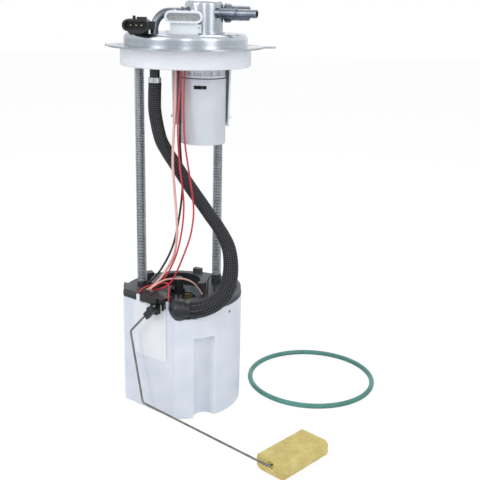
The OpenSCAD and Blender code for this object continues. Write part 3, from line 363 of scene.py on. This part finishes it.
def closed_cell_foam():
    """Closed-cell nitrile foam: tan skin with small round pores darkened by painted shade, and a worn,
    darker drift.
    """
    material, tree, shader, place = start_finish("closed_cell_foam", {"Roughness": 0.85, "IOR": 1.45})
    drift = add(tree, "TexNoise", {"Vector": place, "Scale": 60, "Detail": 6, "Roughness": 0.65})
    colour = add(tree, "ValToRGB", {"Fac": drift.outputs["Fac"]},
                 stops=[(0.3, "#c6b26c"), (0.5, "#d8c57c"), (0.7, "#e4d38c")])
    pores = add(tree, "TexVoronoi", {"Vector": place, "Scale": 620}, feature="F1")
    pit = add(tree, "MapRange", {"Value": pores.outputs["Distance"], "From Min": 0.1, "From Max": 0.45})
    # The pores are darkened with painted shade, deepest at their middles
    shade = add(tree, "Mix", {0: 0.16, 6: colour.outputs[0], 7: pit.outputs[0]},
                data_type="RGBA", blend_type="MULTIPLY")
    tree.links.new(shade.outputs[2], shader.inputs["Base Color"])
    bump = add(tree, "Bump", {"Height": pit.outputs[0], "Strength": 0.5, "Distance": 0.25 * MM})
    tree.links.new(bump.outputs[0], shader.inputs["Normal"])
    return material


# Each metal: its light and dark colour, roughness, grain and depth
METALS = {
    # Bright zinc plate on pressed sheet: pale, faintly blue, softly mirror-like
    "zinc_plated_sheet": ("#c6ccd3", "#a3aab2", 0.25, (22, 22, 22), 0.02),
    # Drawn and plated can: the same plate with upright drawing marks
    "zinc_plated_can": ("#c3c9d0", "#9ea5ad", 0.24, (160, 160, 12), 0.01),
    # Blue-grey organic coating over steel line
    "coated_steel_line": ("#848b96", "#60676f", 0.34, (60, 60, 60), 0.01),
    # Centreless-ground rod: bright, with rings too fine to see
    "ground_steel_rod": ("#b4b7bb", "#999da2", 0.25, (40, 40, 300), 0.005),
    # Drawn spring wire: grey with a thin oil film
    "spring_wire": ("#b8bcc1", "#9a9fa5", 0.4, (200, 200, 200), 0.01),
    # Drawn arm wire: grey-brown, with lengthwise die marks
    "arm_wire": ("#8f8e89", "#6d6c68", 0.33, (120, 120, 120), 0.01),
    # Stainless strip, rolled bright
    "stainless_band": ("#d5d8da", "#babec1", 0.26, (90, 90, 90), 0.01),
    # Tin over brass: grey, a little warm where the plating is thin
    "tinned_brass": ("#c6c1b0", "#a5a08e", 0.3, (100, 100, 100), 0.01),
    # Bare brass of the pump's terminals
    "rolled_brass": ("#d3bc85", "#b0955d", 0.3, (100, 100, 100), 0.01),
    # Die-cast alloy: matt, with flow marks
    "die_cast_alloy": ("#b9bbbd", "#9b9ea1", 0.45, (80, 80, 80), 0.03),
    # Enamelled copper windings on the core
    "copper_winding": ("#c07a4a", "#8d5330", 0.35, (60, 60, 400), 0.05),
    # Sintered magnet and carbon brush: dark and grainy
    "sintered_magnet": ("#4b4b4d", "#333335", 0.6, (150, 150, 150), 0.03),
}
# Each plastic: its light and dark colour, roughness, and at times its grain, depth and glow
PLASTICS = {
    # White acetal: opaque, waxy, a trace of light below the skin
    "white_acetal": ("#eff1f4", "#e7e9ed", 0.27, 0.6, 0.02, (0.15, 0.003)),
    # Natural acetal: milky and faintly blue, with light inside its 2.5 mm wall
    "milky_acetal": ("#e6ebf3", "#dae1eb", 0.3, 0.6, 0.02, (0.4, 0.006)),
    # Pale grey acetal of the vent valve
    "pale_grey_acetal": ("#d5dade", "#cacfd4", 0.27, 0.6, 0.02, (0.15, 0.003)),
    # Natural nylon of the harness connector: grey-white and slightly glassy
    "natural_nylon": ("#ecf0f3", "#e2e6ea", 0.3, 0.6, 0.02, (0.25, 0.004)),
    # Glass-filled nylon, dark grey: dull with tiny fibre specks
    "dark_grey_nylon": ("#3f4247", "#2e3034", 0.45, 0.8, 0.05),
    # Black nylon: satin, with a fine grain
    "black_nylon": ("#1b1d20", "#111214", 0.36, 0.7, 0.03),
    # Black nitrile rubber: dull, with bloom
    "black_rubber": ("#1c1d1f", "#121314", 0.62, 0.9, 0.04),
    # Green fluorinated rubber of the tank seal: smooth from its mould
    "green_seal_rubber": ("#569489", "#457f74", 0.42, 1.1, 0.03),
    # Wire covers of thin plasticised vinyl
    "red_pvc": ("#d0363f", "#b92833", 0.33, 1.0, 0.01),
    "pink_pvc": ("#eebdb2", "#e0a89e", 0.38, 1.0, 0.01),
    "black_pvc": ("#1a1a1c", "#101011", 0.36, 1.0, 0.01),
    # Resin-treated filter paper, with its fibres
    "filter_paper": ("#d8c79c", "#c4b184", 0.9, 0.5, 0.1),
    # Glazed alumina card of the level sender
    "glazed_ceramic": ("#e9e6da", "#dcd8ca", 0.25, 1.0, 0.005),
}
FINISHES = {name: metal(name, *look) for name, look in METALS.items()}
FINISHES.update({name: moulded(name, *look) for name, look in PLASTICS.items()})
FINISHES["braided_sleeve"] = braided_sleeve()
FINISHES["closed_cell_foam"] = closed_cell_foam()

# The CAD nodes that keep their own shape, under their finish
DRESS = {
    "zinc_plated_sheet": ["flange_cover"],
    "zinc_plated_can": ["top_can"],
    "coated_steel_line": ["fuel_outlet_fitting", "vapour_fitting", "crossover_tube"],
    "ground_steel_rod": ["guide_rod_left", "guide_rod_right"],
    "spring_wire": ["rod_stop_clips"],
    "stainless_band": ["hose_clamp", "pump_shell", "pressure_regulator"],
    "tinned_brass": ["sensor_terminals", "connector_terminals"],
    "rolled_brass": ["pump_terminals"],
    "die_cast_alloy": ["pump_inlet_cap", "pump_upper_plate"],
    "copper_winding": ["armature"],
    "sintered_magnet": ["pump_magnets", "pump_brushes"],
    "white_acetal": ["flange_spigot", "vent_valve_cap", "vent_valve_float", "sender_plate", "valve_bracket"],
    "natural_nylon": ["harness_connector"],
    "milky_acetal": ["reservoir_cup"],
    "pale_grey_acetal": ["vent_valve_body"],
    "dark_grey_nylon": ["reservoir_lid"],
    "black_nylon": ["pressure_sensor", "outlet_elbow", "pump_end_cap", "sender_body", "arm_hub",
                    "hose_stub", "filter_housing", "impeller"],
    "black_rubber": ["sensor_seal", "vent_valve_gasket", "pump_isolator", "foot_valve"],
    "green_seal_rubber": ["tank_seal"],
    "filter_paper": ["filter_element", "pump_strainer"],
    "glazed_ceramic": ["resistor_card"],
    "closed_cell_foam": ["float"],
}


def dress_nodes():
    """Gives each CAD node that stays in view or inside its own finish."""
    for finish, nodes in DRESS.items():
        for name in nodes:
            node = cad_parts[name]
            if not node.material_slots:
                node.data.materials.append(None)
            for held in node.material_slots:
                held.material = FINISHES[finish]


def put(piece, finish, body, node):
    """Finishes a piece, rides it on its body if it has one, and hides the CAD node it stands for."""
    piece.data.materials.append(FINISHES[finish])
    if body:
        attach(piece, body)
    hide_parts(node)


# The springs, in millimetres: where they stand, and the radii of the coil and of its wire
SPRINGS = {"spring_left": (-47.2, 0), "spring_right": (32.4, 27)}
SPRING_FOOT = -DROP + 132.02
SPRING_TOP = -14.02
SPRING_R = 4.6
SPRING_WIRE_R = 0.55
SPRING_TURNS = 140
# From a spring's seat to the middle of its wire, with a hair's gap
SPRING_SEAT = 0.56
# The hose, in millimetres: its radius at the stub, how much that grows, and after which point
HOSE_R = 6.5
HOSE_SWELL = 2.7
HOSE_EVEN = 10
HOSE = [
    (-29, -22, -33.6), (-29, -22, -37), (-29.3, -22.5, -47), (-28.8, -24, -63), (-23.6, -27, -87),
    (-16.5, -28.5, -101), (-7.8, -30, -114), (4.5, -32, -132.5), (19, -34, -152.7),
    (27.5, -36, -164.5), (36.3, -38, -176.4), (46, -42, -194), (49.2, -46.5, -211.5),
    (48.2, -50.5, -228), (43.8, -54.5, -241), (34, -57.8, -250), (24, -59, -254.8),
    (14.5, -59, -257.2), (9.2, -59, -257.2)]
# Each wire: its radius, finish, slot and route
WIRES = {
    "red_pump_wire": (0.9, "red_pvc", "red_cover", [
        (-3, -32, -3.2), (-3, -33, -22), (-4, -36, -50), (-5, -41, -77), (-3, -44, -111), (1, -45, -146),
        (0, -45, -172), (-5, -44, -199), (-13, -42.5, -220), (-22.5, -34.5, -236.5), (-31, -30, -244.8),
        (-36.2, -24.6, -247.8)]),
    "red_sender_wire": (0.9, "red_pvc", "red_cover", [
        (1, -32, -3.2), (1, -33, -22), (0.5, -37, -53), (2, -43, -87), (7, -47, -121), (11, -47, -151),
        (10, -47, -172), (5, -46, -193), (-9, -43, -229), (-18, -40.5, -239.5), (-27, -36, -245),
        (-32.1, -31.5, -246.9)]),
    "pink_wire": (1.3, "pink_pvc", "pink_cover", [
        (-8, -31, -3.2), (-8, -34, -50), (-10, -41.5, -105), (-8.5, -42, -133), (-6.5, -42, -160),
        (-6, -41.5, -184), (-9.5, -41, -206), (-18.5, -39.3, -224), (-28.5, -36.5, -238), (-35.5, -33, -245),
        (-38.5, -29.3, -247.6)]),
    "black_wire": (1.1, "black_pvc", "black_cover", [
        (-6, -22, -3.2), (-4.3, -22, -50), (-4.2, -22, -94), (-1.9, -22, -130), (-3.2, -23, -155.9),
        (-8.3, -28, -188), (-14, -31.5, -206), (-22.4, -34, -221.9), (-29.6, -33, -232.2),
        (-37.3, -27, -241.2), (-39.4, -23, -247.7)]),
}
# The short links on the lid, in the same way
LINKS = {
    "pink_link_wire": (0.9, "pink_pvc", "pink_cover", [
        (-31.8, -36.8, -247), (-33.5, -41, -243.2), (-29, -42.5, -238), (-19, -38.4, -233.4),
        (-8.5, -32, -233.9), (1.5, -26.5, -236.3), (11, -22, -243), (19.3, -18.7, -256)]),
    "red_link_wire": (0.9, "red_pvc", "red_cover", [
        (-47.1, -33, -250.5), (-42.3, -33, -245.2), (-36, -29.5, -243), (-24.8, -27.8, -241.6),
        (-18.3, -40.6, -235.9), (-14.2, -47.5, -235.6), (-13.4, -54, -243.5), (-13.3, -56.9, -249.9)]),
}


def make_springs():
    """Two long springs of 1.1 mm wire, close-wound on the guide rods."""
    for name, centre in SPRINGS.items():
        foot, top = SPRING_FOOT + SPRING_SEAT, SPRING_TOP - SPRING_SEAT
        line = helix(centre, SPRING_R, foot, top, SPRING_TURNS)
        spring = tube(name + "_coil", line, SPRING_WIRE_R, 6, toward=(0, 0, 1))
        put(spring, "spring_wire", None, name)
        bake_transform(spring)


def make_hose():
    """The fuel hose in its braided sleeve: 13 mm across from the stub, and swelling by a quarter
    sine to 18.4 mm at its last point but one, by the elbow."""
    path = smooth_route(HOSE, 2.0)
    span = len(HOSE) - 2 - HOSE_EVEN
    swollen = [min(1, max(0, i - HOSE_EVEN) / span) for i in range(len(HOSE))]
    rings = [HOSE_R + HOSE_SWELL * math.sin(math.pi / 2 * share) for share in swollen]
    nearest = [np.argmin(np.linalg.norm(path - np.array(p), axis=1)) for p in HOSE]
    radius = np.interp(np.arange(len(path)), nearest, rings)
    hose = tube("fuel_hose_sleeve", path, radius, 48)
    put(hose, "braided_sleeve", None, "fuel_hose")
    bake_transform(hose)


def make_wires():
    """Four wires from the flange to the sender, and the two short links on the lid."""
    for name, (radius, finish, slot, route) in WIRES.items():
        wire = tube(name + "_cover", smooth_route(route, 1.6), radius, 12)
        put(wire, finish, None, name)
        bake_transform(wire)
    for name, (radius, finish, slot, route) in LINKS.items():
        link = tube(name + "_cover", smooth_route(route, 1.2), radius, 12)
        put(link, finish, "reservoir", name)


def make_float_arm():
    """The level arm: 2.2 mm wire with round bends, from its hub to the float's far end."""
    corners = flat_frame([(21.5, -65, 128), (-14.2, -65, 90.6), (2.3, -65, 12.9), (178.5, -76.4, 12.7),
                          (184.4, -8.96, 12.7)])
    line = even_steps(round_corners(corners, 4.0, 14), 1.5)
    wire = tube("float_arm_wire", line, 1.1, 12, toward=(0.5, 0.6, 0.62))
    put(wire, "arm_wire", "arm", "float_arm")


place_camera()
light_world()
# Three upright boxes whose highlights stand on the left, middle and right of the round pieces,
# and one above the back
place_lamp("key_softbox", (-0.95, -0.9, 0.55), (0, 0, -0.15), (0.45, 1.1), 6.2)
place_lamp("front_strip", (0.1, -1.25, 0.45), (0, 0, -0.1), (0.14, 0.9), 2.2)
place_lamp("side_softbox", (1.0, -0.85, 0.45), (0, 0, -0.15), (0.45, 1.1), 4.2)
place_lamp("back_softbox", (0.1, 0.9, 1.0), (0, 0, -0.1), (0.9, 0.6), 5)
lay_floor()
dress_nodes()
make_springs()
make_hose()
make_wires()
make_float_arm()
